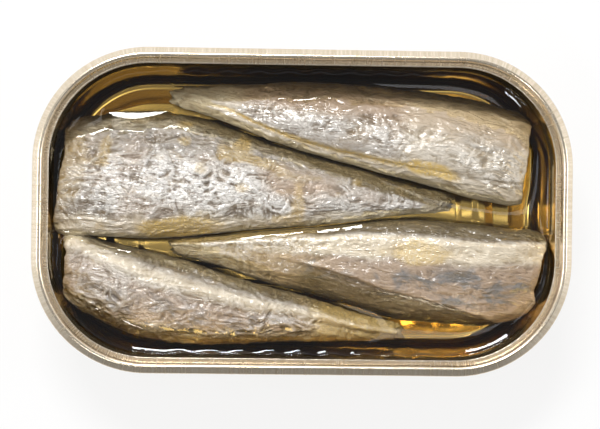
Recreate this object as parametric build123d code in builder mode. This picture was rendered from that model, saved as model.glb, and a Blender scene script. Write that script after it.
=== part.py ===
"""An opened quarter-club fish tin with four headed sardines lying in oil.

The tin is a shallow drawn cup with tapered walls and a stepped base. What is
left of its pull-off end is a ring seamed over the rim. The sardines lie side
by side and head to tail on the base, each leaning on the next, and the oil
fills the tin round them to a little below their backs.

The frame: +X along the tin, +Y across it, +Z up, with the origin at the middle
of the face that the tin stands on. Sizes are in millimetres.
"""

from build123d import *
from math import cos, pi, radians, sin, sqrt, tan
import os

# The tin, over its seam
length = 108.6
width = 65.4
height = 24.0
corner_radius = 23.2

# The drawn cup
wall = 0.25
wall_taper = 7.0  # degrees from upright, so that empty cups nest
seam_overhang = 1.85  # the seam stands this far out from the rim of the cup inside it
cup_rim_drop = 0.9  # the rim of the cup, hooked into the seam, lies this far below the crest
heel_radius = 2.2
stand_width = 5.2  # the flat ring that the tin stands on
first_step = 0.7
second_step = 0.5
step_run = 0.9  # how far each step leans back over its rise
land = 2.5  # the flat between the two steps
step_radius = 0.45

# The seam and what is left of the end, with widths taken inward from the seam's outer face
seam_depth = 2.9
seam_foot_radius = 0.3
shoulder_drop = 1.3
shoulder_radius = 0.7
crest_width = 0.7
crest_inset = 1.7
crest_rise = 0.2
end_sheet = 0.25
chuck_wall_depth = 3.2
ledge_width = 0.65  # the strip of the end that stays inside the tear
ledge_drop = 0.25

# The oil
oil_level = 12.8

# The sardines. Each one's spine runs from the middle of its head cut to the tip
# of its tail, and bows aside from that line by its sways. Its widths are across
# the flank that lies uppermost. Widths and sways, at the shared stations, and
# where the heads and tails lie, are shares of the cup's inside at the height
# where the sardines are widest: of its width, and of its half length and half
# width. A head cut stands as far along as the wall lets it.
lie_height = 9.0
stations = (0.0, 0.04, 0.12, 0.24, 0.38, 0.52, 0.66, 0.80, 0.92, 1.0)
sardines = {
    "sardine_back": {
        "head_end": 1,
        "head_across": 0.405,
        "tail": (-0.555, 0.817),
        "widths": (0.291, 0.329, 0.355, 0.345, 0.319, 0.287, 0.237, 0.159, 0.099, 0.052),
        "sways": (-0.003, 0.000, 0.003, 0.012, 0.016, 0.016, 0.012, 0.010, 0.009, 0.003),
        "thickness": 14.2,
        "lean": -3.0,
        "tail_height": 10.2,
        "cut_turn": 10.0,
    },
    "sardine_middle_left": {
        "head_end": -1,
        "head_across": 0.239,
        "tail": (0.640, 0.076),
        "widths": (0.364, 0.414, 0.443, 0.449, 0.402, 0.315, 0.239, 0.159, 0.099, 0.052),
        "sways": (-0.003, 0.005, 0.016, 0.028, 0.033, 0.019, 0.012, 0.007, 0.003, 0.000),
        "thickness": 15.2,
        "lean": -3.2,
        "tail_height": 10.4,
        "cut_turn": 8.0,
    },
    "sardine_middle_right": {
        "head_end": 1,
        "head_across": -0.478,
        "tail": (-0.557, -0.242),
        "widths": (0.277, 0.319, 0.360, 0.367, 0.357, 0.284, 0.222, 0.149, 0.090, 0.048),
        "sways": (0.021, 0.012, 0.000, -0.002, -0.009, -0.009, -0.009, -0.005, -0.002, 0.000),
        "thickness": 14.4,
        "lean": 2.8,
        "tail_height": 10.2,
        "cut_turn": 14.0,
    },
    "sardine_front": {
        "head_end": -1,
        "head_across": -0.440,
        "tail": (0.450, -0.859),
        "widths": (0.218, 0.258, 0.296, 0.313, 0.289, 0.227, 0.178, 0.123, 0.074, 0.045),
        "sways": (0.014, 0.002, -0.017, -0.036, -0.038, -0.035, -0.021, -0.014, -0.007, 0.000),
        "thickness": 14.0,
        "lean": 1.2,
        "tail_height": 9.8,
        "cut_turn": 4.0,
    },
}
# The share of each sardine's greatest thickness, at the same stations
plumpness = (0.82, 0.91, 0.98, 1.0, 0.95, 0.85, 0.69, 0.50, 0.34, 0.21)
neighbour_gap = 0.3  # between two sardines side by side
wall_gap = 0.25  # between the corner of a head cut and the cup
base_gap = 0.15  # under each sardine's thickest part
cut_slope = 7.0  # degrees from upright, as the tin's wall
section_points = 16

os.makedirs("parts", exist_ok=True)


# The cup's wall, by height
cup_rim = height - cup_rim_drop
first_land = wall + first_step
base_panel = first_land + second_step


def wall_inset(z):
    """How far the cup's outer face lies inside the seam's outer face at height z."""
    return seam_overhang + (cup_rim - z) * tan(radians(wall_taper))


def cavity_inset(z):
    """How far the cup's inner face lies inside the seam's outer face at height z."""
    return wall_inset(z) + wall / cos(radians(wall_taper))


# The corners of the cup's inner face as (inset, height), from the wall's foot to
# the middle panel of the base, and the radius at each corner
wall_foot = cavity_inset(wall)
first_foot = wall_foot + heel_radius / 2 + stand_width
second_foot = first_foot + step_run + land
panel_edge = second_foot + step_run
base_corners = (
    (wall_foot, wall),
    (first_foot, wall),
    (first_foot + step_run, first_land),
    (second_foot, first_land),
    (panel_edge, base_panel),
)
base_radii = (heel_radius, step_radius, step_radius, step_radius, step_radius)
centre_inset = panel_edge + 2 * step_radius

# Profiles are drawn at the middle of the +X end, with X inward and Y up
profile_plane = Plane(origin=(length / 2, 0, 0), x_dir=(-1, 0, 0), z_dir=(0, 1, 0))

# The line that every profile of the tin runs round: the seam's outer edge in
# plan, anticlockwise from the middle of the +X end
with BuildLine() as rim_path:
    straight_x = length / 2 - corner_radius
    straight_y = width / 2 - corner_radius
    Line((length / 2, 0), (length / 2, straight_y))
    RadiusArc((length / 2, straight_y), (straight_x, width / 2), -corner_radius)
    Line((straight_x, width / 2), (-straight_x, width / 2))
    RadiusArc((-straight_x, width / 2), (-length / 2, straight_y), -corner_radius)
    Line((-length / 2, straight_y), (-length / 2, -straight_y))
    RadiusArc((-length / 2, -straight_y), (-straight_x, -width / 2), -corner_radius)
    Line((-straight_x, -width / 2), (straight_x, -width / 2))
    RadiusArc((straight_x, -width / 2), (length / 2, -straight_y), -corner_radius)
    Line((length / 2, -straight_y), (length / 2, 0))


def plan(inset):
    """The tin's plan, drawn in from the seam's outer edge."""
    return RectangleRounded(length - 2 * inset, width - 2 * inset, corner_radius - inset)


# The cup: its wall and stepped base run round the rim path, and the flat middle
# of the base closes it
with BuildPart() as tin_body:
    with BuildSketch(profile_plane):
        with BuildLine():
            inner_face = FilletPolyline(
                (cavity_inset(cup_rim), cup_rim),
                *base_corners,
                (centre_inset, base_panel),
                radius=base_radii,
            )
            offset(inner_face, amount=wall, side=Side.RIGHT)
        make_face()
    sweep(path=rim_path.wires()[0])
    with BuildSketch(Plane.XY.offset(base_panel)):
        plan(centre_inset)
    extrude(amount=-wall)
tin_body.part.label = "tin_body"

# The ring: the rolled seam with its hooks pressed solid, the crest, the chuck
# wall lying against the cup, and the strip left inside the tear. The cup's rim
# stands in its slot, face to face.
chuck_foot = height - chuck_wall_depth
chuck_inset = cavity_inset(chuck_foot) + end_sheet
with BuildPart() as seam_ring:
    with BuildSketch(profile_plane):
        with BuildLine():
            seam_foot = height - seam_depth
            shoulder = height - shoulder_drop
            crest_start = (crest_inset, height - crest_rise)
            crest_end = (crest_inset + crest_width, height - crest_rise)
            outside = FilletPolyline(
                (wall_inset(seam_foot), seam_foot),
                (0, seam_foot),
                (0, shoulder),
                crest_start,
                radius=(seam_foot_radius, shoulder_radius),
            )
            ThreePointArc(crest_start, (crest_inset + crest_width / 2, height), crest_end)
            Polyline(
                crest_end,
                (chuck_inset, chuck_foot),
                (chuck_inset + ledge_width, chuck_foot - ledge_drop),
                (chuck_inset + ledge_width, chuck_foot - ledge_drop - end_sheet),
                (cavity_inset(chuck_foot - end_sheet), chuck_foot - end_sheet),
                (wall_inset(seam_foot), seam_foot),
            )
        make_face()
    sweep(path=rim_path.wires()[0])
    add(tin_body.part, mode=Mode.SUBTRACT)
seam_ring.part.label = "seam_ring"


# The cup's inside where the sardines are widest
inside_half_length = length / 2 - cavity_inset(lie_height)
inside_half_width = width / 2 - cavity_inset(lie_height)


def reach(y):
    """How far the cup's inner face lies from the middle along X, at a distance y across."""
    round_the_corner = max(0.0, abs(y) - straight_y)
    inner_radius = corner_radius - cavity_inset(lie_height)
    return straight_x + sqrt(max(0.0, inner_radius**2 - round_the_corner**2))


def size_across(fish, what, share):
    """One of a sardine's widths or sways, in millimetres."""
    return fish[what][stations.index(share)] * 2 * inside_half_width


def section_plane(fish, share, head_x):
    """The plane of a sardine's section: X across it to +Y, Y up its thickness."""
    tail_x, tail_y = fish["tail"]
    tail = Vector(tail_x * inside_half_length, tail_y * inside_half_width, fish["tail_height"])
    head_height = base_panel + base_gap + fish["thickness"] / 2
    head = Vector(head_x, fish["head_across"] * inside_half_width, head_height)
    along = Vector(tail.X - head.X, tail.Y - head.Y, 0).normalized()
    across = Vector(-along.Y, along.X, 0) * -fish["head_end"]
    middle = head + (tail - head) * share + across * size_across(fish, "sways", share)
    near_head = max(0.0, 1 - share / stations[3])
    turn = radians(fish["cut_turn"] * near_head)
    slope = radians(cut_slope * near_head)
    outward = Vector(cos(turn), -sin(turn), 0) * fish["head_end"]
    across = Vector(-outward.Y, outward.X, 0) * fish["head_end"]
    normal = outward * cos(slope) - Vector(0, 0, sin(slope))
    return Plane(origin=middle, x_dir=across, z_dir=normal)


def seated_head(fish):
    """How far along a sardine's head cut lies once its corner is wall_gap from the cup."""
    head_x = fish["head_end"] * inside_half_length
    for slide in range(4):
        spare = []
        for share in stations[:3]:
            plane = section_plane(fish, share, head_x)
            reach_aside = plane.x_dir * size_across(fish, "widths", share) / 2
            for corner in (plane.origin + reach_aside, plane.origin - reach_aside):
                spare.append(reach(corner.Y) - abs(corner.X))
        head_x += fish["head_end"] * (min(spare) - wall_gap)
    return head_x


def section_outline(fish, share, upward):
    """The points of a leaning oval: a sardine's section at a share of its length."""
    half_width = (size_across(fish, "widths", share) - neighbour_gap) / 2
    half_height = fish["thickness"] * plumpness[stations.index(share)] / 2
    lean = fish["lean"] * size_across(fish, "widths", share) / size_across(fish, "widths", stations[3])
    half_flank = sqrt(half_width**2 - lean**2)
    outline = []
    for step in range(section_points):
        angle = 2 * pi * step / section_points
        sideways = half_flank * cos(angle) + lean * sin(angle)
        outline.append((sideways, upward * half_height * sin(angle)))
    return outline


def sardine(name):
    """A sardine, lofted through its sections from the head cut to the tail."""
    fish = sardines[name]
    head_x = seated_head(fish)
    with BuildPart() as body:
        for share in stations:
            plane = section_plane(fish, share, head_x)
            upward = 1 if plane.y_dir.Z > 0 else -1
            with BuildSketch(plane):
                with BuildLine():
                    Spline(*section_outline(fish, share, upward), periodic=True)
                make_face()
        loft()
    body.part.label = name
    return body


sardine_back = sardine("sardine_back")
sardine_middle_left = sardine("sardine_middle_left")
sardine_middle_right = sardine("sardine_middle_right")
sardine_front = sardine("sardine_front")

# The oil: the cup's cavity up to the oil's level, less the sardines lying in it
with BuildPart() as oil:
    with BuildSketch(profile_plane):
        with BuildLine():
            FilletPolyline(
                (cavity_inset(oil_level), oil_level),
                *base_corners,
                (centre_inset, base_panel),
                radius=base_radii,
            )
            Polyline(
                (centre_inset, base_panel),
                (centre_inset, oil_level),
                (cavity_inset(oil_level), oil_level),
            )
        make_face()
    sweep(path=rim_path.wires()[0])
    with BuildSketch(Plane.XY.offset(base_panel)):
        plan(centre_inset)
    extrude(amount=oil_level - base_panel)
    for fish in (sardine_back, sardine_middle_left, sardine_middle_right, sardine_front):
        add(fish.part, mode=Mode.SUBTRACT)
oil.part.label = "oil"

export_step(tin_body.part, "parts/tin_body.step")
export_step(seam_ring.part, "parts/seam_ring.step")
export_step(sardine_back.part, "parts/sardine_back.step")
export_step(sardine_middle_left.part, "parts/sardine_middle_left.step")
export_step(sardine_middle_right.part, "parts/sardine_middle_right.step")
export_step(sardine_front.part, "parts/sardine_front.step")
export_step(oil.part, "parts/oil.step")

for piece in (tin_body, seam_ring, oil, sardine_back, sardine_middle_left, sardine_middle_right,
              sardine_front):
    print(piece.part.label, len(piece.part.solids()), "solid", round(piece.part.volume), "mm3")
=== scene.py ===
import math

import bmesh
import bpy
import numpy as np
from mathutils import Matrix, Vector
from mathutils.bvhtree import BVHTree


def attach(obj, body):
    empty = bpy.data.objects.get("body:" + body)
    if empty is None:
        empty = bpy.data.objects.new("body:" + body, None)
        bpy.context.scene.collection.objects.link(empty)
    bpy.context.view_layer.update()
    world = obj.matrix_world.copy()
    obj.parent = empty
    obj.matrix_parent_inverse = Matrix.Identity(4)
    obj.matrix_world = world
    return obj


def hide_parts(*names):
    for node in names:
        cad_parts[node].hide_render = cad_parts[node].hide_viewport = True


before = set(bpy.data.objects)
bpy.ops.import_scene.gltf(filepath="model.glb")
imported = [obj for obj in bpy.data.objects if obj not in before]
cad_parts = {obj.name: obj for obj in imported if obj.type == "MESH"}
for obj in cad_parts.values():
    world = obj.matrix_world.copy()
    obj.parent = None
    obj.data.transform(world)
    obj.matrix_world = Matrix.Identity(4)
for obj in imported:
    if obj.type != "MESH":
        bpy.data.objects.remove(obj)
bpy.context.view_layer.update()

# ---------------------------------------------------------------------------
# The cup. A shallow tray drawn from one thin aluminium sheet, gold lacquered
# inside and out, with tapered walls, faint flutes along its two long sides and a
# base stepped up to a beaded panel. Its rim stands inside the rolled seam.
# ---------------------------------------------------------------------------
mm = 0.001
tin_length = 108.6 * mm
tin_width = 65.4 * mm
tin_corner = 23.2 * mm
cup_rim = 23.1 * mm
cup_rim_inset = 2.1 * mm
cup_sheet = 0.25 * mm
cup_taper = math.tan(math.radians(7.0))
wall_rows = 26
wall_run = 20 * mm
heel_radius = 2.2 * mm
stand_ring_end = 7.3 * mm
stand_ring_height = 0.30 * mm
land_start = 10.5 * mm
land_end = 13.7 * mm
land_height = 0.93 * mm
panel_start = 15.4 * mm
panel_height = 1.38 * mm
bead_start = 16.8 * mm
bead_run = 1.2 * mm
bead_width = 2.4 * mm
bead_depth = 0.30 * mm
step_rounding = 1.1 * mm
corner_segments = 28
long_side_cuts = 89
short_side_cuts = 15
flute_pitch = 6.3 * mm
flute_depth = 0.18 * mm
flute_shift = 2.9 * mm
flutes_end = 34 * mm
flutes_end_fade = 9 * mm
flutes_below_rim = 2.8 * mm
flutes_top_fade = 0.8 * mm
flutes_foot = 3.5 * mm
flutes_foot_fade = 4 * mm
long_wall_start = 28.5 * mm
long_wall_fade = 0.7 * mm
gold_lacquer = (0.84, 0.60, 0.21)
gold_lacquer_thick = (0.74, 0.50, 0.14)


def leave_everything():
    """Back to object mode with nothing selected."""
    if bpy.context.object and bpy.context.object.mode == "EDIT":
        bpy.ops.object.mode_set(mode="OBJECT")
    bpy.ops.object.select_all(action="DESELECT")


def pick(piece):
    """Only this piece selected and active."""
    leave_everything()
    piece.select_set(True)
    bpy.context.view_layer.objects.active = piece


def apply_modifier(piece, kind, **settings):
    """One modifier added, set and applied."""
    pick(piece)
    modifier = piece.modifiers.new(kind.title(), kind)
    for name, value in settings.items():
        setattr(modifier, name, value)
    bpy.ops.object.modifier_apply(modifier=modifier.name)


def vertices_of(piece):
    """The piece's vertex positions as an array."""
    places = np.empty(len(piece.data.vertices) * 3, np.float32)
    piece.data.vertices.foreach_get("co", places)
    return places.reshape(-1, 3).astype(np.float64)


def put_vertices(piece, places):
    """Moves the piece's vertices to these positions."""
    piece.data.vertices.foreach_set("co", places.astype(np.float32).ravel())
    piece.data.update()


def plan_of_tin(name, inset, z):
    """The tin's rounded plan as one face in edit mode, with its sides divided."""
    leave_everything()
    bpy.ops.mesh.primitive_plane_add(size=1.0, location=(0, 0, 0))
    piece = bpy.context.object
    piece.name = name
    bpy.ops.object.mode_set(mode="EDIT")
    bpy.ops.mesh.select_all(action="SELECT")
    bpy.ops.transform.resize(value=(tin_length - 2 * inset, tin_width - 2 * inset, 1))
    bpy.ops.transform.translate(value=(0, 0, z))
    bpy.ops.mesh.bevel(
        offset=tin_corner - inset, segments=corner_segments, affect="VERTICES", profile=0.5
    )
    bpy.ops.mesh.select_mode(type="EDGE")
    # The edges longer than this, on either side of the tin along this axis, are its sides
    for cuts, shortest, axis in ((long_side_cuts, 40 * mm, 1), (short_side_cuts, 10 * mm, 0)):
        for side in (-1, 1):
            grid = bmesh.from_edit_mesh(piece.data)
            for edge in grid.edges:
                middle = (edge.verts[0].co + edge.verts[1].co) / 2
                edge.select_set(edge.calc_length() > shortest and middle[axis] * side > 0)
            grid.select_flush_mode()
            bmesh.update_edit_mesh(piece.data)
            bpy.ops.mesh.subdivide(number_cuts=cuts)
    bpy.ops.mesh.select_mode(type="FACE")
    bpy.ops.mesh.select_all(action="SELECT")
    return piece


def run_profile(profile):
    """Draws the selected face through the profile's (inset, height) corners."""
    for (inset, z), (next_inset, next_z) in zip(profile, profile[1:]):
        inward, up = next_inset - inset, next_z - z
        if abs(inward) > 1e-7:
            bpy.ops.mesh.inset(
                thickness=abs(inward), depth=up, use_even_offset=True, use_outset=bool(inward < 0)
            )
        else:
            bpy.ops.mesh.extrude_region_move(TRANSFORM_OT_translate={"value": (0, 0, up)})


def rounded(before, corner, after, radius, steps):
    """The points of a profile's corner, rounded to a radius."""
    a, b, c = np.array(before), np.array(corner), np.array(after)
    u = (a - b) / np.linalg.norm(a - b)
    v = (c - b) / np.linalg.norm(c - b)
    half = math.acos(float(np.clip(u @ v, -1, 1))) / 2
    reach = radius / math.tan(half)
    middle = b + (u + v) / np.linalg.norm(u + v) * radius / math.sin(half)
    start = b + u * reach - middle
    end = b + v * reach - middle
    points = []
    for step in range(steps + 1):
        w = start * (1 - step / steps) + end * step / steps
        points.append(tuple(middle + w / np.linalg.norm(w) * radius))
    return points


def cup_inset(z):
    """How far in the cup's inner face lies at a height."""
    return cup_rim_inset + (cup_rim - z) * cup_taper


# The cup's inner face as (inset, height) corners: from the rim down the wall in
# even drops, round the heel and over the steps of the base
heel = (cup_inset(cup_sheet), cup_sheet)
base_corners = [
    (stand_ring_end, stand_ring_height),
    (land_start, land_height),
    (land_end, land_height),
    (panel_start, panel_height),
    (bead_start, panel_height),
    (bead_start + bead_run, panel_height - bead_depth),
    (bead_start + bead_run + bead_width, panel_height - bead_depth),
    (bead_start + 2 * bead_run + bead_width, panel_height),
    (bead_start + 3 * bead_run + bead_width, panel_height),
]
wall_heights = cup_rim - np.linspace(0, wall_run, wall_rows)
cup_profile = [(cup_inset(z), z) for z in wall_heights]
cup_profile += rounded(cup_profile[-1], heel, base_corners[0], heel_radius, steps=10)
for before, corner, after in zip([heel] + base_corners, base_corners, base_corners[1:]):
    cup_profile += rounded(before, corner, after, step_rounding, steps=3)
cup_profile.append(base_corners[-1])

cup = plan_of_tin("cup", cup_profile[0][0], cup_profile[0][1])
run_profile(cup_profile)
leave_everything()


def flute(places):
    """Bends the two long walls into their faint upright flutes, which fade out before the
    corners, under the rim and over the foot."""
    x, y, z = places.T
    along_side = np.clip((flutes_end - np.abs(x)) / flutes_end_fade, 0, 1)
    below_rim = np.clip((cup_rim - flutes_below_rim - z) / flutes_top_fade, 0, 1)
    down_wall = below_rim * np.clip((z - flutes_foot) / flutes_foot_fade, 0, 1)
    on_long_wall = np.clip((np.abs(y) - long_wall_start) / long_wall_fade, 0, 1)
    wave = flute_depth * np.cos(2 * math.pi * (x + flute_shift) / flute_pitch)
    fluted = places.copy()
    fluted[:, 1] += np.sign(y) * wave * along_side * down_wall * on_long_wall
    return fluted


put_vertices(cup, flute(vertices_of(cup)))
apply_modifier(cup, "SOLIDIFY", thickness=cup_sheet, offset=-1.0, use_even_offset=True)
pick(cup)
bpy.ops.object.shade_smooth()


def new_material(name):
    """A new material with its node tree and its shader."""
    material = bpy.data.materials.new(name)
    material.use_nodes = True
    shader = material.node_tree.nodes["Principled BSDF"]
    return material, material.node_tree, shader


def node(tree, kind, **settings):
    """One node, with its properties and the values of its inputs set."""
    made = tree.nodes.new(kind)
    for name, value in settings.items():
        if name == "inputs":
            for key, given in value.items():
                made.inputs[key].default_value = given
        else:
            setattr(made, name, value)
    return made


def mix_colours(tree, share, first, second):
    """The first colour turning into the second by a share. Each may be a socket."""
    mixed = node(tree, "ShaderNodeMix", data_type="RGBA")
    share_socket, first_socket, second_socket = (mixed.inputs[index] for index in (0, 6, 7))
    for socket, given in ((share_socket, share), (first_socket, first), (second_socket, second)):
        if isinstance(given, bpy.types.NodeSocket):
            tree.links.new(given, socket)
        elif isinstance(given, (int, float)):
            socket.default_value = given
        else:
            socket.default_value = (*given, 1.0)
    return mixed.outputs[2]


def span(tree, value, low, high, out_low=0.0, out_high=1.0):
    """A socket's value mapped from one span to another, and held inside it."""
    mapped = node(tree, "ShaderNodeMapRange", clamp=True)
    tree.links.new(value, mapped.inputs[0])
    for index, number in enumerate((low, high, out_low, out_high)):
        mapped.inputs[index + 1].default_value = number
    return mapped.outputs[0]


def grain(tree, scale, stretch=(1, 1, 1), detail=3.0, roughness=0.55, distortion=0.0, source=None):
    """Noise on the piece's own coordinates, stretched along X, Y and Z."""
    mapping = node(tree, "ShaderNodeMapping")
    mapping.inputs["Scale"].default_value = stretch
    if source is None:
        source = node(tree, "ShaderNodeTexCoord").outputs["Object"]
    tree.links.new(source, mapping.inputs["Vector"])
    noise = node(tree, "ShaderNodeTexNoise")
    noise.inputs["Scale"].default_value = scale
    noise.inputs["Detail"].default_value = detail
    noise.inputs["Roughness"].default_value = roughness
    noise.inputs["Distortion"].default_value = distortion
    tree.links.new(mapping.outputs[0], noise.inputs["Vector"])
    return noise.outputs["Fac"]


def bump(tree, shader, height, strength, distance, layer="Normal"):
    """Fine relief on the shader's normal, or on its coat's."""
    relief = node(tree, "ShaderNodeBump")
    relief.inputs["Strength"].default_value = strength
    relief.inputs["Distance"].default_value = distance
    tree.links.new(height, relief.inputs["Height"])
    tree.links.new(relief.outputs[0], shader.inputs[layer])


lacquer, tree, shader = new_material("gold_lacquered_aluminium")
drawn = grain(tree, 90, stretch=(1, 1, 0.06), detail=4)
cloud = grain(tree, 22, stretch=(1, 1, 0.3), detail=2)
colour = mix_colours(tree, span(tree, cloud, 0.35, 0.65), gold_lacquer, gold_lacquer_thick)
tree.links.new(colour, shader.inputs["Base Color"])
tree.links.new(span(tree, drawn, 0.3, 0.7, 0.07, 0.15), shader.inputs["Roughness"])
shader.inputs["Metallic"].default_value = 1.0
shader.inputs["Coat Weight"].default_value = 0.15
shader.inputs["Coat Roughness"].default_value = 0.04
bump(tree, shader, drawn, strength=0.12, distance=0.04 * mm)
cup.data.materials.append(lacquer)
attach(cup, "root")
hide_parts("tin_body")

# ---------------------------------------------------------------------------
# The seam ring. The rim of the cup and the edge of the pull-off end are rolled
# together into a double seam, bare champagne-coloured aluminium, finely streaked
# across the roll. Inside it stand the chuck wall and the strip left by the tear.
# ---------------------------------------------------------------------------
# Corners in millimetres as (inset, height): up the outside, over the roll, down
# the chuck wall and in over the strip to its torn edge
seam_profile = [
    (0.0, 21.3), (0.0, 22.88), (0.02, 23.0), (0.07, 23.1), (0.15, 23.18), (0.4, 23.35),
    (0.65, 23.53), (0.9, 23.71), (1.08, 23.84), (1.2, 23.92), (1.32, 23.975), (1.45, 24.0),
    (1.6, 23.98), (1.78, 23.9), (1.94, 23.76), (2.06, 23.55), (2.14, 23.3), (2.2, 22.9),
    (2.46, 20.7), (2.72, 20.74), (2.98, 20.78), (3.04, 20.74), (3.06, 20.6), (2.98, 20.34),
]
rim_pale = (0.92, 0.82, 0.67)
rim_tan = (0.68, 0.56, 0.40)
height_share = 0.04

ring = plan_of_tin("seam_and_torn_edge", 0.0, seam_profile[0][1] * mm)
run_profile([(inset * mm, z * mm) for inset, z in seam_profile])

# The flat face that the run leaves inside is taken out, and the two open edges
# are joined underneath
bpy.ops.mesh.select_all(action="DESELECT")
bpy.ops.mesh.select_face_by_sides(number=4, type="GREATER")
bpy.ops.mesh.delete(type="ONLY_FACE")
bpy.ops.mesh.select_mode(type="EDGE")
grid = bmesh.from_edit_mesh(ring.data)
for edge in grid.edges:
    edge.select_set(edge.is_boundary)
bmesh.update_edit_mesh(ring.data)
bpy.ops.mesh.bridge_edge_loops()
bpy.ops.mesh.select_all(action="SELECT")
bpy.ops.mesh.normals_make_consistent(inside=False)
leave_everything()
pick(ring)
bpy.ops.object.shade_smooth_by_angle(angle=math.radians(50))

# Each point remembers the point of the outline that it was rolled in from, and a
# small share of its height, so that the streaks run straight across the roll
places = vertices_of(ring)
straight = np.array([tin_length / 2 - tin_corner, tin_width / 2 - tin_corner])
anchor = np.clip(places[:, :2], -straight, straight)
outward = places[:, :2] - anchor
outward /= np.maximum(np.linalg.norm(outward, axis=1, keepdims=True), 1e-9)
foot = anchor + outward * tin_corner
outline_point = ring.data.attributes.new("outline_point", "FLOAT_VECTOR", "POINT")
outline_point.data.foreach_set(
    "vector", np.column_stack([foot, height_share * places[:, 2]]).astype(np.float32).ravel()
)

rolled, tree, shader = new_material("rolled_champagne_aluminium")
roll = node(tree, "ShaderNodeAttribute", attribute_name="outline_point").outputs["Vector"]
streaks = grain(tree, 2600, detail=3, roughness=0.6, source=roll)
long_tone = grain(tree, 60, detail=2, source=roll)
colour = mix_colours(tree, span(tree, streaks, 0.3, 0.7), rim_pale, rim_tan)
colour = mix_colours(tree, span(tree, long_tone, 0.3, 0.7, 0, 0.35), colour, rim_pale)
tree.links.new(colour, shader.inputs["Base Color"])
tree.links.new(span(tree, streaks, 0.3, 0.7, 0.16, 0.30), shader.inputs["Roughness"])
shader.inputs["Metallic"].default_value = 1.0
bump(tree, shader, streaks, strength=0.13, distance=0.03 * mm)
ring.data.materials.append(rolled)
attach(ring, "root")
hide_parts("seam_ring")

# ---------------------------------------------------------------------------
# The sardines. Headed and tailless, cooked soft in the tin: silver skin puckered
# over brown flesh, cream along the belly, olive towards the back. Each lies on
# its side, cut square behind the head and broken off ragged at the tail.
# ---------------------------------------------------------------------------
skin_mesh = 0.25 * mm
skin_weld = 2e-6
fish_clearance = 0.25 * mm
fish_lowest = 1.6 * mm
fish_stations = 40
skin_silver = (0.43, 0.385, 0.33)
# Painted highlight: the near white that the crests of the silver skin are painted
painted_skin_highlight = (0.82, 0.79, 0.75)
skin_shaded = (0.25, 0.215, 0.18)
# Painted shade: the dark brown that the creases and hairlines of the skin are painted
painted_crease_shade = (0.15, 0.108, 0.066)
flesh_pink = (0.42, 0.31, 0.22)
# Painted shade for the creases of the flesh
flesh_painted_shade = (0.13, 0.09, 0.055)
belly_cream = (0.76, 0.66, 0.50)
# Painted shade for the creases of the cream belly
belly_painted_shade = (0.42, 0.32, 0.19)
back_olive = (0.13, 0.095, 0.042)
# Painted shade for the creases of the olive back
olive_painted_shade = (0.06, 0.042, 0.016)
fat_yellow = (0.62, 0.43, 0.13)
vein_blue = (0.17, 0.18, 0.19)
oil_stain = (0.36, 0.24, 0.10)
# Painted shade for skin that lies deep in the oil
painted_shade_under_oil = (0.035, 0.024, 0.008)


def lattice_noise(points, seed):
    """Smooth noise from 0 to 1 at each row of points, with cells of one unit."""
    table = np.random.RandomState(seed).rand(32, 32, 32)
    cell = np.floor(points).astype(int)
    part = points - cell
    part = part * part * (3 - 2 * part)
    total = np.zeros(len(points))
    for dx in (0, 1):
        for dy in (0, 1):
            for dz in (0, 1):
                corner = table[tuple(((cell + (dx, dy, dz)) % 32).T)]
                weight = np.abs(1 - dx - part[:, 0]) * np.abs(1 - dy - part[:, 1])
                total += corner * weight * np.abs(1 - dz - part[:, 2])
    return total


def folds(points, seed):
    """Ridged noise: sharp crests with soft hollows between, from 0 to 1."""
    total = np.zeros(len(points))
    share = 0.0
    for octave in (0, 1):
        ridge = 1 - np.abs(2 * lattice_noise(points * 1.9**octave, seed + octave) - 1)
        total += ridge**2 * 0.5**octave
        share += 0.5**octave
    return total / share


def bell(value, middle, width):
    """A soft band, 1 at its middle."""
    return np.exp(-(((value - middle) / width) ** 2))


def ease(value, low, high):
    """0 below low, 1 above high, and smooth between."""
    part = np.clip((value - low) / (high - low), 0, 1)
    return part * part * (3 - 2 * part)


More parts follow.
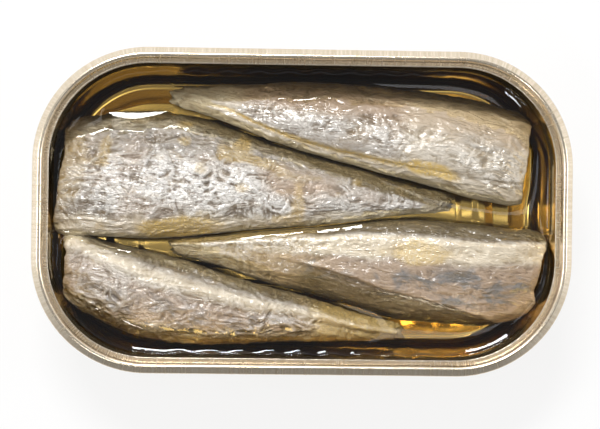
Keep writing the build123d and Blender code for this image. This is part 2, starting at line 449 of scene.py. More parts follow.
class Sardine:
    """A fish's skin with its own measures: u runs from its cut end, 0, to its tail, 1, and
    v over its flank from the front edge, -1, to the back edge, 1. vw is v with a wander,
    for the soft borders between colours."""

    def __init__(self, name, node_name, cut_end, tail_end, seed):
        self.name, self.node_name, self.seed = name, node_name, seed
        self.piece = self.remeshed()
        self.places = vertices_of(self.piece)
        run = np.array(tail_end) - np.array(cut_end)
        self.length = np.linalg.norm(run) * mm
        self.run = run / np.linalg.norm(run)
        self.side = np.array([-self.run[1], self.run[0]])
        if self.side[1] < 0:
            self.side = -self.side
        offset = self.places[:, :2] - np.array(cut_end) * mm
        self.along = offset @ self.run
        self.across = offset @ self.side
        self.u = self.along / self.length
        stations = np.linspace(0, 1, fish_stations + 1)
        nearest = np.clip(np.round(self.u * fish_stations).astype(int), 0, fish_stations)
        low = np.array([self.across[nearest == i].min() for i in range(fish_stations + 1)])
        high = np.array([self.across[nearest == i].max() for i in range(fish_stations + 1)])
        self.half = np.interp(self.u, stations, (high - low) / 2)
        self.middle = np.interp(self.u, stations, (high + low) / 2)
        self.v = (self.across - self.middle) / self.half
        normals = np.empty(len(self.places) * 3, np.float32)
        self.piece.data.vertices.foreach_get("normal", normals)
        self.normals = normals.reshape(-1, 3).astype(np.float64)
        self.upper = ease(self.normals[:, 2], -0.1, 0.4)
        wander = self.noise(5, 3.5, 1) - 0.5
        self.vw = self.v + 0.22 * wander + 0.10 * (self.noise(2, 1.2, 2) - 0.5)

    def remeshed(self):
        """The CAD fish copied, merged and skinned with small even faces."""
        leave_everything()
        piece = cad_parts[self.node_name].copy()
        piece.data = piece.data.copy()
        piece.name = self.name
        piece.parent = None
        for key in list(piece.keys()):
            del piece[key]
        bpy.context.scene.collection.objects.link(piece)
        piece.data.materials.clear()
        pick(piece)
        bpy.ops.object.mode_set(mode="EDIT")
        bpy.ops.mesh.select_all(action="SELECT")
        bpy.ops.mesh.remove_doubles(threshold=skin_weld)
        leave_everything()
        apply_modifier(piece, "REMESH", mode="VOXEL", voxel_size=skin_mesh, use_smooth_shade=True)
        return piece

    def cells(self, along_size, across_size, warp=0.0, warp_size=5.0):
        """Noise coordinates with cells of these sizes, in millimetres, swirled by a warp."""
        flat = np.column_stack([self.along, self.across, self.places[:, 2]]) / mm
        if warp:
            for axis in (0, 1):
                push = lattice_noise(flat / warp_size + 7.3 * axis, self.seed + 90 + axis) - 0.5
                flat[:, axis] += 2 * warp * push
        return flat / np.array([along_size, across_size, across_size])

    def noise(self, along_size, across_size, layer, warp=0.0):
        """Smooth noise in cells of these sizes, each layer drawn on its own."""
        return lattice_noise(self.cells(along_size, across_size, warp), self.seed + layer)

    def raise_by(self, amount):
        """Moves the skin out along its normals by an amount in millimetres."""
        self.places += self.normals * (amount * mm)[:, None]

    def line(self, points):
        """The v of a line along the fish, given as (u, v) points."""
        u, v = zip(*points)
        return np.interp(self.u, u, v)

    def stretch(self, first, last, soft=0.04):
        """1 between two places along the fish, fading over a soft length."""
        begun = ease(self.u, first - soft, first + soft)
        return begun * (1 - ease(self.u, last - soft, last + soft))

    def patch(self, u, v, u_size, v_size):
        """A soft-edged patch at a place on the flank, its edge broken by noise."""
        blur = 0.5 * (self.noise(2.5, 1.8, 31, 1.0) - 0.5)
        reach = np.sqrt(((self.u - u) / u_size) ** 2 + ((self.v - v) / v_size) ** 2) + blur
        return (1 - ease(reach, 0.65, 1.1)) * self.upper

    def square_the_cut(self, wider, back_corner, front_corner):
        """Fills out the cut end and draws its two corners out by these lengths in millimetres."""
        share = wider * (1 - ease(self.u, 0.0, 0.09))
        shift = (self.across - self.middle) * share
        self.places[:, :2] += shift[:, None] * self.side
        drawn = back_corner * ease(self.v, 0.4, 1.0) + front_corner * ease(-self.v, 0.4, 1.0)
        drawn *= (1 - ease(self.u, 0.0, 0.14)) * mm
        self.places[:, :2] -= drawn[:, None] * self.run

    def fill_shoulder(self, height, v_side, first, last):
        """Lifts one edge of the flank between two places along the fish."""
        edge = ease(self.v * v_side, 0.4, 0.95) * self.stretch(first, last, 0.08)
        self.places[:, 2] += height * mm * edge * ease(self.places[:, 2], 7 * mm, 12 * mm)

    def break_the_tail(self, depth):
        """Leaves the tail end ragged."""
        teeth = folds(self.cells(3.0, 0.9), self.seed + 60) + 0.6 * self.noise(1.5, 1.5, 61)
        self.places[:, :2] -= (ease(self.u, 0.94, 1.0) * teeth * depth * mm)[:, None] * self.run

    def pucker(self, dents, long_fold, crinkle, swirl=1.5):
        """Cooked skin: soft dents, folds along the body and a fine crinkle on its upper side."""
        soft = self.noise(9, 6, 3) + 0.5 * self.noise(4, 3, 4) - 0.75
        long_folds = folds(self.cells(7, 2.0, swirl), self.seed + 10)
        fine = folds(self.cells(2.4, 0.8, swirl, 4.0), self.seed + 20)
        cross = folds(self.cells(0.9, 2.2, swirl, 4.0), self.seed + 24)
        mixed = ease(self.noise(6, 5, 5), 0.35, 0.65)
        fine = fine * (0.35 + 0.65 * mixed) + cross * 0.55 * (1 - mixed)
        tender = 0.25 + 0.75 * self.upper
        folded = long_fold * (long_folds - 0.5)
        self.raise_by(tender * (dents * soft + folded + crinkle * (fine - 0.35)))
        # Where the folds stand highest the skin is painted lighter, as painted highlight, and where
        # they lie lowest darker, as painted shade
        self.crest = ease(0.7 * fine + 0.3 * long_folds, 0.15, 0.75)

    def scale_pocket(self, u, v, radius, shine=0.0):
        """A round pocket where a scale sat: a low dome in a raised rim. Its rim is painted lighter
        and the ring inside it darker, as painted highlight and shade, and shine paints a highlight
        over the dome.
        """
        du = (self.u - u) * self.length / mm
        dv = (self.v - v) * self.half / mm
        reach = np.sqrt(du**2 + dv**2) / radius + 0.35 * (self.noise(2, 2, 33) - 0.5)
        turn = np.arctan2(dv, du)
        round_rim = np.column_stack([turn * 1.1 + 4, reach * 0, reach * 0 + u * 50])
        broken = ease(lattice_noise(round_rim, self.seed + 34), 0.3, 0.6)
        dome = 0.32 * np.clip(1 - reach**2, 0, 1) - 0.13 * broken * bell(reach, 1.0, 0.14)
        dome += 0.24 * broken * bell(reach, 1.22, 0.18)
        self.raise_by(dome * self.upper)
        # Painted highlight on the pocket's rim and painted shade just inside it, then a painted
        # highlight over the dome
        self.crest += broken * (0.6 * bell(reach, 1.2, 0.18) - 0.48 * bell(reach, 0.98, 0.1))
        self.crest += shine * (1 - ease(reach, 0.7, 1.0))
        self.crest = np.clip(self.crest, 0, 1)

    def finish(self, wrinkle_size=1.0, **zones):
        """Keeps the fish clear of the cup, stores its zones and hands it to the frame.
        The cut end shows flesh and none of the other zones."""
        anchor = np.clip(self.places[:, :2], -straight, straight)
        outward = self.places[:, :2] - anchor
        reach = np.linalg.norm(outward, axis=1)
        limit = tin_corner - cup_inset(self.places[:, 2]) - fish_clearance
        over = reach > limit
        self.places[over, :2] = anchor[over] + outward[over] * (limit[over] / reach[over])[:, None]
        self.places[:, 2] = np.maximum(self.places[:, 2], fish_lowest)
        put_vertices(self.piece, self.places)
        zones["crest"] = self.crest
        facing_cut = ease(-(self.normals[:, :2] @ self.run), 0.5, 0.8)
        cut_face = (1 - ease(self.u, 0.01, 0.03)) * facing_cut
        for name, zone in zones.items():
            layer = self.piece.data.attributes.new(name, "FLOAT", "POINT")
            if name != "crest":
                zone = zone * (1 - cut_face) + (name == "flesh") * cut_face
            layer.data.foreach_set("value", np.clip(zone, 0, 1).astype(np.float32))
        layer = self.piece.data.attributes.new("skin_place", "FLOAT_VECTOR", "POINT")
        skin_place = np.column_stack([self.along, self.across + self.seed * mm, self.places[:, 2]])
        layer.data.foreach_set("vector", (skin_place / wrinkle_size).astype(np.float32).ravel())
        self.piece.data.materials.append(sardine_skin)
        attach(self.piece, "root")
        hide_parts(self.node_name)


def zone_of(tree, name):
    """One of the zones stored on the fish."""
    return node(tree, "ShaderNodeAttribute", attribute_name=name).outputs["Fac"]


def arithmetic(tree, operation, *values):
    """One Math node's result from sockets and numbers."""
    result = node(tree, "ShaderNodeMath", operation=operation)
    for socket, given in zip(result.inputs, values):
        if isinstance(given, bpy.types.NodeSocket):
            tree.links.new(given, socket)
        else:
            socket.default_value = given
    return result.outputs[0]


def multiply(tree, first, second):
    """Two shares multiplied."""
    return arithmetic(tree, "MULTIPLY", first, second)


def add(tree, first, second):
    """Two shares added."""
    return arithmetic(tree, "ADD", first, second)


def wrinkles(tree, scale, stretch, width, source):
    """Thin wandering lines: 1 on a line, 0 away from it."""
    field = grain(tree, scale, stretch, detail=2, roughness=0.5, distortion=1.6, source=source)
    away = arithmetic(tree, "ABSOLUTE", arithmetic(tree, "SUBTRACT", field, 0.5))
    return span(tree, away, 0.0, width, 1.0, 0.0)


sardine_skin, tree, shader = new_material("sardine_skin")
place = node(tree, "ShaderNodeAttribute", attribute_name="skin_place").outputs["Vector"]
fine_grain = grain(
    tree, 2200, (0.5, 1, 1), detail=4, roughness=0.65, distortion=1.2, source=place
)
speckle = grain(tree, 2600, detail=2, roughness=0.5, source=place)
blotch = grain(tree, 330, (0.7, 1, 1), detail=3, roughness=0.6, distortion=0.8, source=place)
patches = grain(tree, 170, (0.7, 1, 1), detail=2, roughness=0.5, distortion=0.6, source=place)
folded = grain(tree, 430, (0.5, 1, 1), detail=2, roughness=0.5, distortion=1.4, source=place)
long_wrinkles = wrinkles(tree, 560, (0.36, 1, 1), width=0.18, source=place)
short_wrinkles = wrinkles(tree, 950, (0.55, 1, 1), width=0.20, source=place)
hairlines = wrinkles(tree, 720, (0.5, 1, 1), width=0.05, source=place)
crest, silver, depth = zone_of(tree, "crest"), zone_of(tree, "silver"), zone_of(tree, "depth")
lines = add(tree, multiply(tree, long_wrinkles, 0.6), multiply(tree, short_wrinkles, 0.4))
fine_relief = add(tree, multiply(tree, fine_grain, 0.35), multiply(tree, lines, 0.25))
relief = add(tree, multiply(tree, crest, 0.55), fine_relief)

# Silver skin with painted shade darkening its creases and thin hairlines, and painted highlights
# near white on its crests
colour = mix_colours(tree, span(tree, relief, 0.34, 0.61), painted_crease_shade, skin_silver)
colour = mix_colours(tree, span(tree, patches, 0.38, 0.62, 0.0, 0.6), colour, skin_shaded)
# Painted highlight on the crests of the silver skin
highlight_share = multiply(tree, span(tree, relief, 0.56, 0.75), silver)
colour = mix_colours(tree, highlight_share, colour, painted_skin_highlight)
# Painted shade as thin dark hairlines along the wrinkles
hairline_shade_share = multiply(tree, hairlines, span(tree, silver, 0, 1, 0.35, 0.65))
colour = mix_colours(tree, hairline_shade_share, colour, painted_crease_shade)

# Over it, by their zones, the flesh, the cream belly, the olive back, veins and fat, the first
# three with painted shade in their creases
flesh = mix_colours(tree, span(tree, relief, 0.15, 0.6), flesh_painted_shade, flesh_pink)
colour = mix_colours(tree, zone_of(tree, "flesh"), colour, flesh)
cream = mix_colours(tree, span(tree, relief, 0.1, 0.5), belly_painted_shade, belly_cream)
colour = mix_colours(tree, zone_of(tree, "cream"), colour, cream)
olive = mix_colours(tree, span(tree, relief, 0.2, 0.65), olive_painted_shade, back_olive)
colour = mix_colours(tree, zone_of(tree, "olive"), colour, olive)
vein_share = multiply(tree, zone_of(tree, "veins"), span(tree, blotch, 0.45, 0.6))
colour = mix_colours(tree, vein_share, colour, vein_blue)
fat_share = multiply(tree, zone_of(tree, "yellow"), span(tree, speckle, 0.2, 0.6, 0.25, 1.0))
colour = mix_colours(tree, fat_share, colour, fat_yellow)

# All of it stained in blotches by the oil, and painted darker the deeper it lies in the oil, as
# painted shade
stain_share = multiply(tree, span(tree, blotch, 0.56, 0.72), 0.3)
colour = mix_colours(tree, stain_share, colour, oil_stain)
colour = mix_colours(tree, depth, colour, painted_shade_under_oil)
tree.links.new(colour, shader.inputs["Base Color"])
tree.links.new(span(tree, silver, 0, 1, 0.0, 0.3), shader.inputs["Metallic"])
tree.links.new(span(tree, fine_grain, 0.3, 0.7, 0.28, 0.42), shader.inputs["Roughness"])
shader.inputs["Coat Weight"].default_value = 1.0
shader.inputs["Coat Roughness"].default_value = 0.06
shader.inputs["Coat IOR"].default_value = 1.6
shader.inputs["Specular IOR Level"].default_value = 0.3

# The skin's relief, and the broader one of the film of oil that lies over it
line_height = multiply(tree, lines, span(tree, silver, 0, 1, 0.7, 1.0))
height = add(tree, line_height, multiply(tree, fine_grain, 0.25))
bump(tree, shader, height, strength=0.9, distance=0.25 * mm)
film = add(tree, folded, multiply(tree, long_wrinkles, 0.2))
bump(tree, shader, film, strength=1.0, distance=0.6 * mm, layer="Coat Normal")

# The one along the back wall: a cream belly edged with yellow fat, pinkish flesh above
back_fish = Sardine("sardine_back_fish", "sardine_back", (46.1, 11.7), (-28.0, 23.6), 11)
back_fish.square_the_cut(0.12, 0.6, 0.8)
back_fish.pucker(0.45, 0.46, 0.24, 2.2)
yellow_line = [(0.0, -0.55), (0.2, -0.68), (0.35, -0.76), (0.53, -0.80),
               (0.65, -0.74), (0.76, -0.58), (0.84, -0.28)]
below = back_fish.v - back_fish.line(yellow_line)
back_fish.raise_by(-0.35 * bell(below, 0.0, 0.05) * back_fish.upper)
back_fish.break_the_tail(2.2)
flesh = ease(back_fish.vw, -0.1, 0.35) * back_fish.stretch(-0.1, 0.82)
silver = 0.6 * bell(back_fish.vw, -0.1, 0.4) * back_fish.stretch(0.0, 0.85, 0.08)
silver = np.maximum(silver, back_fish.patch(0.12, 0.0, 0.12, 0.5))
silver = np.maximum(silver, back_fish.patch(0.04, -0.6, 0.08, 0.35))
cream = 0.35 * back_fish.stretch(-0.1, 0.35) + 0.55 * back_fish.stretch(0.8, 1.2)
back_fish.finish(
    wrinkle_size=1.5,
    flesh=0.85 * flesh,
    silver=silver * (1 - 0.5 * flesh),
    cream=np.maximum(0.75 * ease(-below, -0.02, 0.16) * back_fish.stretch(-0.1, 0.9), cream),
    yellow=bell(below, 0.03, 0.07) * back_fish.stretch(0.30, 0.85)
    + back_fish.patch(0.25, -0.66, 0.075, 0.19),
    veins=0.25 * back_fish.patch(0.1, 0.3, 0.12, 0.4),
    olive=0.2 * ease(back_fish.u, 0.78, 0.92) + 0.6 * ease(back_fish.vw, 0.68, 0.85),
)

# The broadest one: crumpled silver skin with round scale pockets
middle_left_fish = Sardine(
    "sardine_middle_left_fish", "sardine_middle_left", (-48.6, 6.9), (32.3, 2.2), 23
)
middle_left_fish.square_the_cut(0.08, 1.6, 0.3)
middle_left_fish.pucker(0.5, 0.38, 0.46, 2.4)
# Each pocket's last number is the strength of the painted highlight over its dome
for u, v, radius, shine in (
    (0.19, -0.27, 1.7, 0.9), (0.34, 0.17, 2.6, 0.1), (0.41, -0.25, 2.3, 0.4),
    (0.24, 0.14, 2.6, 0.2), (0.31, -0.42, 2.2, 0), (0.47, -0.05, 2.0, 0.2),
    (0.28, 0.48, 2.4, 0), (0.14, 0.45, 2.8, 0), (0.40, 0.45, 2.1, 0), (0.54, -0.30, 2.0, 0.2),
):
    middle_left_fish.scale_pocket(u, v, radius, shine)
middle_left_fish.break_the_tail(2.4)
back_line = [(0.0, 0.84), (0.5, 0.76), (0.64, 0.56), (0.74, 0.38),
             (0.85, 0.08), (0.95, -0.4), (1.0, -0.6)]
over_back = middle_left_fish.vw - middle_left_fish.line(back_line)
belly = 1 - ease(middle_left_fish.vw, -0.82, -0.62)
dull = ease(middle_left_fish.vw, 0.1, 0.55)
shining = np.maximum(
    0.85 * middle_left_fish.stretch(0.03, 0.62, 0.1), 0.6 * middle_left_fish.stretch(0.5, 0.9)
)
middle_left_fish.finish(
    flesh=0.5 * middle_left_fish.patch(0.6, 0.2, 0.12, 0.4)
    + 0.4 * ease(middle_left_fish.noise(7, 5, 40), 0.55, 0.8)
    + 0.08 * dull,
    silver=shining * (1 - 0.65 * dull),
    cream=0.6 * belly,
    yellow=0.9 * middle_left_fish.patch(0.29, -0.86, 0.12, 0.2)
    + 0.25 * middle_left_fish.patch(0.01, 0.1, 0.05, 0.7)
    + 0.5 * ease(middle_left_fish.noise(4, 3, 41), 0.66, 0.85),
    veins=0.35 * middle_left_fish.patch(0.3, 0.6, 0.3, 0.25)
    + 0.3 * middle_left_fish.patch(0.1, -0.45, 0.06, 0.2),
    olive=np.maximum(0.95 * ease(over_back, -0.06, 0.1), 0.22 * dull),
)

# The one by the front on the right: a pale ridge, mottled flesh and a loose belly flap
middle_right_fish = Sardine(
    "sardine_middle_right_fish", "sardine_middle_right", (48.2, -13.8), (-28.1, -7.0), 37
)
middle_right_fish.square_the_cut(0.12, 0.2, 2.4)
middle_right_fish.fill_shoulder(1.4, -1, -0.1, 0.35)
middle_right_fish.pucker(0.42, 0.30, 0.27)
ridge_line = [(0.0, 0.62), (0.22, 0.58), (0.38, 0.60), (0.54, 0.64),
              (0.67, 0.62), (0.8, 0.5), (1.0, 0.2)]
flap_line = [(0.0, -1.1), (0.09, -0.93), (0.14, -0.78), (0.22, -0.62), (0.31, -0.50),
             (0.39, -0.43), (0.50, -0.26), (0.63, -0.08), (0.72, 0.1)]
over_ridge = middle_right_fish.v - middle_right_fish.line(ridge_line)
under_flap = middle_right_fish.line(flap_line) - middle_right_fish.v
flap = middle_right_fish.stretch(0.05, 0.64)
flap_edge = 0.22 * bell(under_flap, -0.05, 0.05) - 0.65 * ease(under_flap, -0.01, 0.05)
middle_right_fish.raise_by(
    middle_right_fish.upper * (0.5 * bell(over_ridge, 0, 0.14) + flap * flap_edge)
)
middle_right_fish.break_the_tail(2.0)
cream_band = ease(middle_right_fish.vw, 0.12, 0.32) * (1 - ease(over_ridge, 0.02, 0.14))
middle_right_fish.finish(
    wrinkle_size=1.3,
    flesh=0.9 * (1 - ease(middle_right_fish.vw, 0.05, 0.3))
    * middle_right_fish.stretch(-0.1, 0.75, 0.1),
    silver=0.7 * bell(over_ridge, -0.05, 0.16)
    + 0.6 * middle_right_fish.patch(0.54, -0.30, 0.09, 0.25)
    + 0.6 * middle_right_fish.patch(0.18, -0.1, 0.08, 0.25)
    + 0.35 * middle_right_fish.stretch(0.55, 0.95),
    cream=0.85 * cream_band * middle_right_fish.stretch(-0.1, 0.62, 0.1),
    yellow=0.6 * middle_right_fish.patch(0.33, 0.35, 0.09, 0.25)
    + 0.35 * middle_right_fish.stretch(0.6, 1.1, 0.1),
    veins=0.9 * middle_right_fish.patch(0.2, -0.25, 0.25, 0.4)
    + 0.7 * middle_right_fish.patch(0.6, -0.1, 0.1, 0.5),
    olive=np.maximum(0.75 * flap * ease(under_flap, 0.0, 0.08), 0.9 * ease(over_ridge, 0.06, 0.18)),
)

# The one at the front on the left: a cream ridge over a wrinkled brown belly
front_fish = Sardine("sardine_front_fish", "sardine_front", (-47.7, -12.7), (22.7, -24.8), 53)
front_fish.square_the_cut(0.10, 0.8, 0.5)
front_fish.pucker(0.5, 0.58, 0.72, 2.6)
ridge_line = [(0.0, 0.68), (0.08, 0.63), (0.17, 0.53), (0.23, 0.46),
              (0.5, 0.41), (0.67, 0.34), (0.76, 0.26), (1.0, 0.0)]
over_ridge = front_fish.v - front_fish.line(ridge_line)
front_fish.raise_by(
    front_fish.upper * (0.7 * bell(over_ridge, 0, 0.17) - 0.25 * bell(over_ridge, -0.32, 0.1))
)
front_fish.break_the_tail(2.0)
cream_band = bell(over_ridge + 0.1 * (front_fish.vw - front_fish.v), 0.0, 0.17)
front_fish.finish(
    flesh=(0.35 + 0.4 * ease(front_fish.noise(5, 4, 42), 0.4, 0.7))
    * (1 - ease(over_ridge, -0.35, -0.1)) * front_fish.stretch(-0.1, 0.7, 0.1),
    silver=0.75 * front_fish.stretch(0.0, 0.7, 0.1) * (1 - ease(over_ridge, -0.3, 0.0))
    + 0.4 * cream_band,
    cream=0.75 * cream_band * front_fish.stretch(-0.1, 0.85, 0.1)
    + 0.6 * bell(over_ridge, 0.42, 0.07) * front_fish.stretch(0.2, 0.5),
    yellow=0.55 * ease(-front_fish.vw, 0.6, 0.85) * front_fish.stretch(0.3, 1.1, 0.1)
    + 0.5 * front_fish.stretch(0.72, 1.1),
    veins=0.5 * front_fish.patch(0.35, -0.3, 0.35, 0.5),
    olive=np.maximum(
        0.85 * ease(over_ridge, 0.18, 0.32),
        np.maximum(0.45 * ease(front_fish.u, 0.72, 0.9), 0.5 * ease(-front_fish.vw, 0.35, 0.8)),
    ),
)
sardines = [back_fish.piece, middle_left_fish.piece, middle_right_fish.piece, front_fish.piece]

# ---------------------------------------------------------------------------
# The oil. Clear pale gold vegetable oil round the sardines. It climbs a little
# up the wall of the cup and up each fish, so its surface is level only in the
# open pools, and it reaches down to the base through every gap.
# ---------------------------------------------------------------------------
oil_level = 12.8 * mm
oil_climb = 1.5 * mm
wall_climb = 1.2 * mm
under_skin = 0.15 * mm
highest_film = 1.2 * mm
into_metal = 0.1 * mm
round_count = 640
surface_rows = 76
under_rows = 6
wall_foot = 3.5 * mm
field_cell = 0.33 * mm
field_sweeps = 600
oil_weld = 1e-6
oil_sliver = 1e-7
half_x, half_y = 52 * mm, 31 * mm
above_tin = 30 * mm
swell_slope = 0.29
swell_start, swell_length, swell_width = -41.0 * mm, 15.0 * mm, 2.3 * mm
swell_back, swell_bow = 20.5 * mm, 0.5 * mm
swell_front = 8 * mm


def outline_points(count, inset):
    """Points evenly round the tin's outline, drawn in by an inset."""
    radius = tin_corner - inset
    quarter = math.pi / 2 * radius
    legs = 2 * [2 * straight[1], quarter, 2 * straight[0], quarter]
    ends = np.cumsum(legs)
    points = []
    for step in range(count):
        distance = ends[-1] * step / count
        leg = int(np.searchsorted(ends, distance, side="right"))
        part = distance - (ends[leg - 1] if leg else 0)
        turn = (leg // 2) * math.pi / 2
        if leg % 2 == 0:
            here = {0: (1, -1, 0, 1), 2: (1, 1, -1, 0), 4: (-1, 1, 0, -1), 6: (-1, -1, 1, 0)}[leg]
            start = np.array([here[0] * straight[0], here[1] * straight[1]])
            facing = np.array([math.cos(turn), math.sin(turn)])
            points.append(start + facing * radius + np.array(here[2:]) * part)
        else:
            corner = {1: (1, 1), 3: (-1, 1), 5: (-1, -1), 7: (1, -1)}[leg]
            angle = turn + part / radius
            facing = np.array([math.cos(angle), math.sin(angle)])
            points.append(np.array(corner) * straight + facing * radius)
    return np.array(points)


# How high the sardines stand, on a grid over the tin
grid_x = np.arange(-half_x, half_x, field_cell)
grid_y = np.arange(-half_y, half_y, field_cell)
fish_top = np.zeros((len(grid_y), len(grid_x)))
bpy.context.view_layer.update()
seen = bpy.context.evaluated_depsgraph_get()
for piece in sardines:
    faces = BVHTree.FromObject(piece, seen)
    low = vertices_of(piece).min(axis=0)
    high = vertices_of(piece).max(axis=0)
    for row, gy in enumerate(grid_y):
        if low[1] <= gy <= high[1]:
            for column, gx in enumerate(grid_x):
                if low[0] <= gx <= high[0]:
                    hit = faces.ray_cast(Vector((gx, gy, above_tin)), Vector((0, 0, -1)))[0]
                    if hit is not None and hit.z > fish_top[row, column]:
                        fish_top[row, column] = hit.z

# The level relaxes between the wall and the fish, which hold it up at their edges
field = np.zeros_like(fish_top)
gx, gy = np.meshgrid(grid_x, grid_y)
beside = np.maximum(np.abs(np.stack([gx, gy], axis=-1)) - straight, 0)
from_corner = np.linalg.norm(beside, axis=-1)
wall_line = tin_corner - cup_inset(oil_level)
outside_cup = from_corner > wall_line + 0.2 * field_cell
stiffness = (oil_climb / field_cell) ** 2


def beside_each(values):
    """The sum of each grid place's four neighbours."""
    total = np.zeros_like(values)
    total[1:-1, 1:-1] = values[:-2, 1:-1] + values[2:, 1:-1] + values[1:-1, :-2] + values[1:-1, 2:]
    return total


above = fish_top - oil_level
above = np.where(fish_top > 0, 0.5 * above + 0.125 * beside_each(above), -oil_level)
skin_under_oil = np.minimum(above - under_skin, highest_film)
for _ in range(field_sweeps):
    relaxed = stiffness * beside_each(field) / (1 + 4 * stiffness)
    field = np.where(outside_cup, wall_climb, np.maximum(relaxed, skin_under_oil))

# In the far left pool it also swells up over the back of the broadest fish, from
# a bowed foot line, over a lens-shaped reach that is wider at its left end
along_swell = np.clip((gx - swell_start) / swell_length, 0, 1)
swell_foot = swell_back + swell_bow * (2 * along_swell - 0.8) ** 2
lens = np.sqrt(4 * along_swell * (1 - along_swell)) * (1.15 - 0.45 * along_swell)
swell = swell_slope * np.clip(swell_foot - gy, 0, swell_width * lens) * (gy > swell_front)
field = np.maximum(field, swell)

# One smoothing sweep rounds off the steps that the grid leaves
field = (4 * field + beside_each(field)) / 8


def surface_height(px, py):
    """The oil's surface above the tin's foot at these places."""
    column = np.clip((px - grid_x[0]) / field_cell, 0, len(grid_x) - 1.001)
    row = np.clip((py - grid_y[0]) / field_cell, 0, len(grid_y) - 1.001)
    c, r = column.astype(int), row.astype(int)
    fc, fr = column - c, row - r
    return oil_level + (
        field[r, c] * (1 - fc) * (1 - fr) + field[r, c + 1] * fc * (1 - fr)
        + field[r + 1, c] * (1 - fc) * fr + field[r + 1, c + 1] * fc * fr
    )


# Painted shade for the skin below the oil: the deeper it lies, the darker and more olive it is
# painted
for piece in sardines:
    places = vertices_of(piece)
    sunk = (surface_height(places[:, 0], places[:, 1]) - places[:, 2]) / mm
    layer = piece.data.attributes.new("depth", "FLOAT", "POINT")
    depth = 0.16 * ease(sunk, -0.1, 0.3) + 0.74 * ease(sunk, 1.0, 5.0)
    layer.data.foreach_set("value", depth.astype(np.float32))

# The oil's skin as rings of points: out from a spine over the surface to the
# wall, down the wall and the base, and back to the spine underneath
top_inset = cup_inset(oil_level + wall_climb) - into_metal
rim_of_oil = outline_points(round_count, top_inset)
spine_reach = (straight[0] + tin_corner - top_inset) - (straight[1] + tin_corner - top_inset)
spine_x = np.clip(rim_of_oil[:, 0], -spine_reach, spine_reach)
spine_of_oil = np.column_stack([spine_x, np.zeros(round_count)])
rings = []
for row in range(surface_rows + 1):
    share = row / surface_rows
    flat = spine_of_oil * (1 - share) + rim_of_oil * share
    rings.append(np.column_stack([flat, surface_height(flat[:, 0], flat[:, 1])]))
rings[-1][:, 2] = oil_level + wall_climb
wall_levels = np.linspace(oil_level, wall_foot, under_rows)
under = [(cup_inset(level) - into_metal, level) for level in wall_levels]
under += [(inset, level - into_metal) for inset, level in cup_profile[wall_rows:]]
for inset, level in under:
    flat = outline_points(round_count, inset)
    rings.append(np.column_stack([flat, np.full(round_count, level)]))
rings.append(np.column_stack([spine_of_oil, np.full(round_count, under[-1][1])]))

# A grid wrapped round those rings and welded where its ends meet
leave_everything()
bpy.ops.mesh.primitive_grid_add(x_subdivisions=round_count, y_subdivisions=len(rings) - 1, size=1.0)
oil = bpy.context.object
oil.name = "oil_pool"
places = vertices_of(oil)
around_index = np.round((places[:, 0] + 0.5) * round_count).astype(int) % round_count
ring_index = np.round((places[:, 1] + 0.5) * (len(rings) - 1)).astype(int)
put_vertices(oil, flute(np.array(rings)[ring_index, around_index]))
bpy.ops.object.mode_set(mode="EDIT")
bpy.ops.mesh.select_all(action="SELECT")
bpy.ops.mesh.remove_doubles(threshold=oil_weld)
bpy.ops.mesh.dissolve_degenerate(threshold=oil_sliver)
bpy.ops.mesh.select_all(action="SELECT")
bpy.ops.mesh.normals_make_consistent(inside=False)
leave_everything()
pick(oil)
bpy.ops.object.shade_smooth()


def blend_shaders(tree, share, first, second, output):
    """The output's surface: the first shader turning into the second by a share."""
    blend = node(tree, "ShaderNodeMixShader")
    for socket, given in zip(blend.inputs, (share, first, second)):
        tree.links.new(given, socket)
    tree.links.new(blend.outputs[0], tree.nodes[output].inputs["Surface"])


# Lamps shine through it onto the fish and the base
clear_oil, tree, shader = new_material("clear_gold_oil")
shader.inputs["Base Color"].default_value = (0.97, 0.94, 0.80, 1.0)
shader.inputs["Roughness"].default_value = 0.0
shader.inputs["IOR"].default_value = 1.47
shader.inputs["Transmission Weight"].default_value = 1.0
let_through = node(tree, "ShaderNodeBsdfTransparent", inputs={"Color": (0.95, 0.91, 0.76, 1.0)})
shadow = node(tree, "ShaderNodeLightPath").outputs["Is Shadow Ray"]
blend_shaders(tree, shadow, shader.outputs[0], let_through.outputs[0], "Material Output")
oil.data.materials.append(clear_oil)
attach(oil, "root")
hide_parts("oil")

# ---------------------------------------------------------------------------
# The table, the lamps and the camera. A plain white table, evenly lit, with the
# camera high over the tin and looking almost straight down on it.
# ---------------------------------------------------------------------------
table_white = 0.82
table_glow = 0.82
tin_middle = Vector((0, 0, 0.01))

leave_everything()
bpy.ops.mesh.primitive_plane_add(size=3.0, location=(0, 0, 0))
table = bpy.context.object
table.name = "table"
tabletop, tree, shader = new_material("white_table")
shader.inputs["Base Color"].default_value = (table_white, table_white, table_white, 1)
shader.inputs["Roughness"].default_value = 0.7
glow = node(tree, "ShaderNodeEmission", inputs={"Color": (1, 1, 1, 1), "Strength": 1.0})
seen_by = node(tree, "ShaderNodeLightPath").outputs
straight_on = arithmetic(tree, "MAXIMUM", seen_by["Is Camera Ray"], seen_by["Is Transmission Ray"])
mirrored_too = arithmetic(tree, "MAXIMUM", straight_on, seen_by["Is Glossy Ray"])
shown = multiply(tree, mirrored_too, table_glow)
blend_shaders(tree, shown, shader.outputs[0], glow.outputs[0], "Material Output")
table.data.materials.append(tabletop)

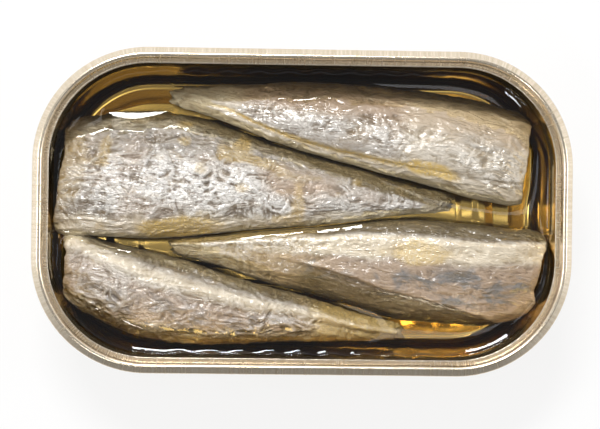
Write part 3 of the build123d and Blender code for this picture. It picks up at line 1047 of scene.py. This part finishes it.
# A soft white studio, darker towards the front and straight overhead
world = bpy.data.worlds.new("studio")
bpy.context.scene.world = world
world.use_nodes = True
tree = world.node_tree
soft = tree.nodes["Background"]
soft.inputs["Color"].default_value = (1, 1, 1, 1)
facing = node(tree, "ShaderNodeTexCoord").outputs["Generated"]
axes = node(tree, "ShaderNodeSeparateXYZ")
tree.links.new(facing, axes.inputs[0])
front_to_back = span(tree, axes.outputs["Y"], -0.85, -0.05, 0.26, 1.0)
overhead = span(tree, axes.outputs["Z"], 0.42, 0.80, 1.0, 0.30)
tree.links.new(multiply(tree, front_to_back, overhead), soft.inputs["Strength"])
white = node(tree, "ShaderNodeBackground", inputs={"Color": (1, 1, 1, 1), "Strength": 1.0})
in_view = node(tree, "ShaderNodeLightPath").outputs["Is Camera Ray"]
blend_shaders(tree, in_view, soft.outputs[0], white.outputs[0], "World Output")


def softbox(name, place, width, height, power):
    """A rectangular softbox facing the tin."""
    leave_everything()
    bpy.ops.object.light_add(type="AREA", location=place)
    lamp = bpy.context.object
    lamp.name = name
    lamp.data.shape = "RECTANGLE"
    lamp.data.size = width
    lamp.data.size_y = height
    lamp.data.energy = power
    lamp.rotation_euler = (tin_middle - Vector(place)).to_track_quat("-Z", "Y").to_euler()


softbox("back_softbox", (-0.15, 0.60, 0.82), 0.36, 0.17, power=7.6)
softbox("right_softbox", (0.85, 0.05, 0.55), 0.24, 0.3, power=1.2)
softbox("front_softbox", (-0.30, -0.50, 0.85), 0.14, 0.12, power=1.1)
softbox("left_softbox", (-0.85, 0.05, 0.55), 0.24, 0.3, power=1.2)

# Three dim white cards, for the gold lacquer and the oil to mirror
softbox("left_card", (-0.19, 0.12, 0.90), 0.20, 0.13, power=0.16)
softbox("right_card", (0.15, -0.035, 0.90), 0.07, 0.13, power=0.05)
softbox("front_card", (0.09, -0.57, 0.84), 0.34, 0.14, power=0.06)

leave_everything()
bpy.ops.object.camera_add(location=(-0.013, 0.0, 0.404))
camera = bpy.context.object
camera.name = "camera"
camera.rotation_euler = (math.radians(-0.097), math.radians(-1.858), math.radians(0.764))
camera.data.lens = 114.0
camera.data.sensor_width = 36.0
bpy.context.scene.camera = camera
bpy.context.scene.view_settings.view_transform = "Standard"
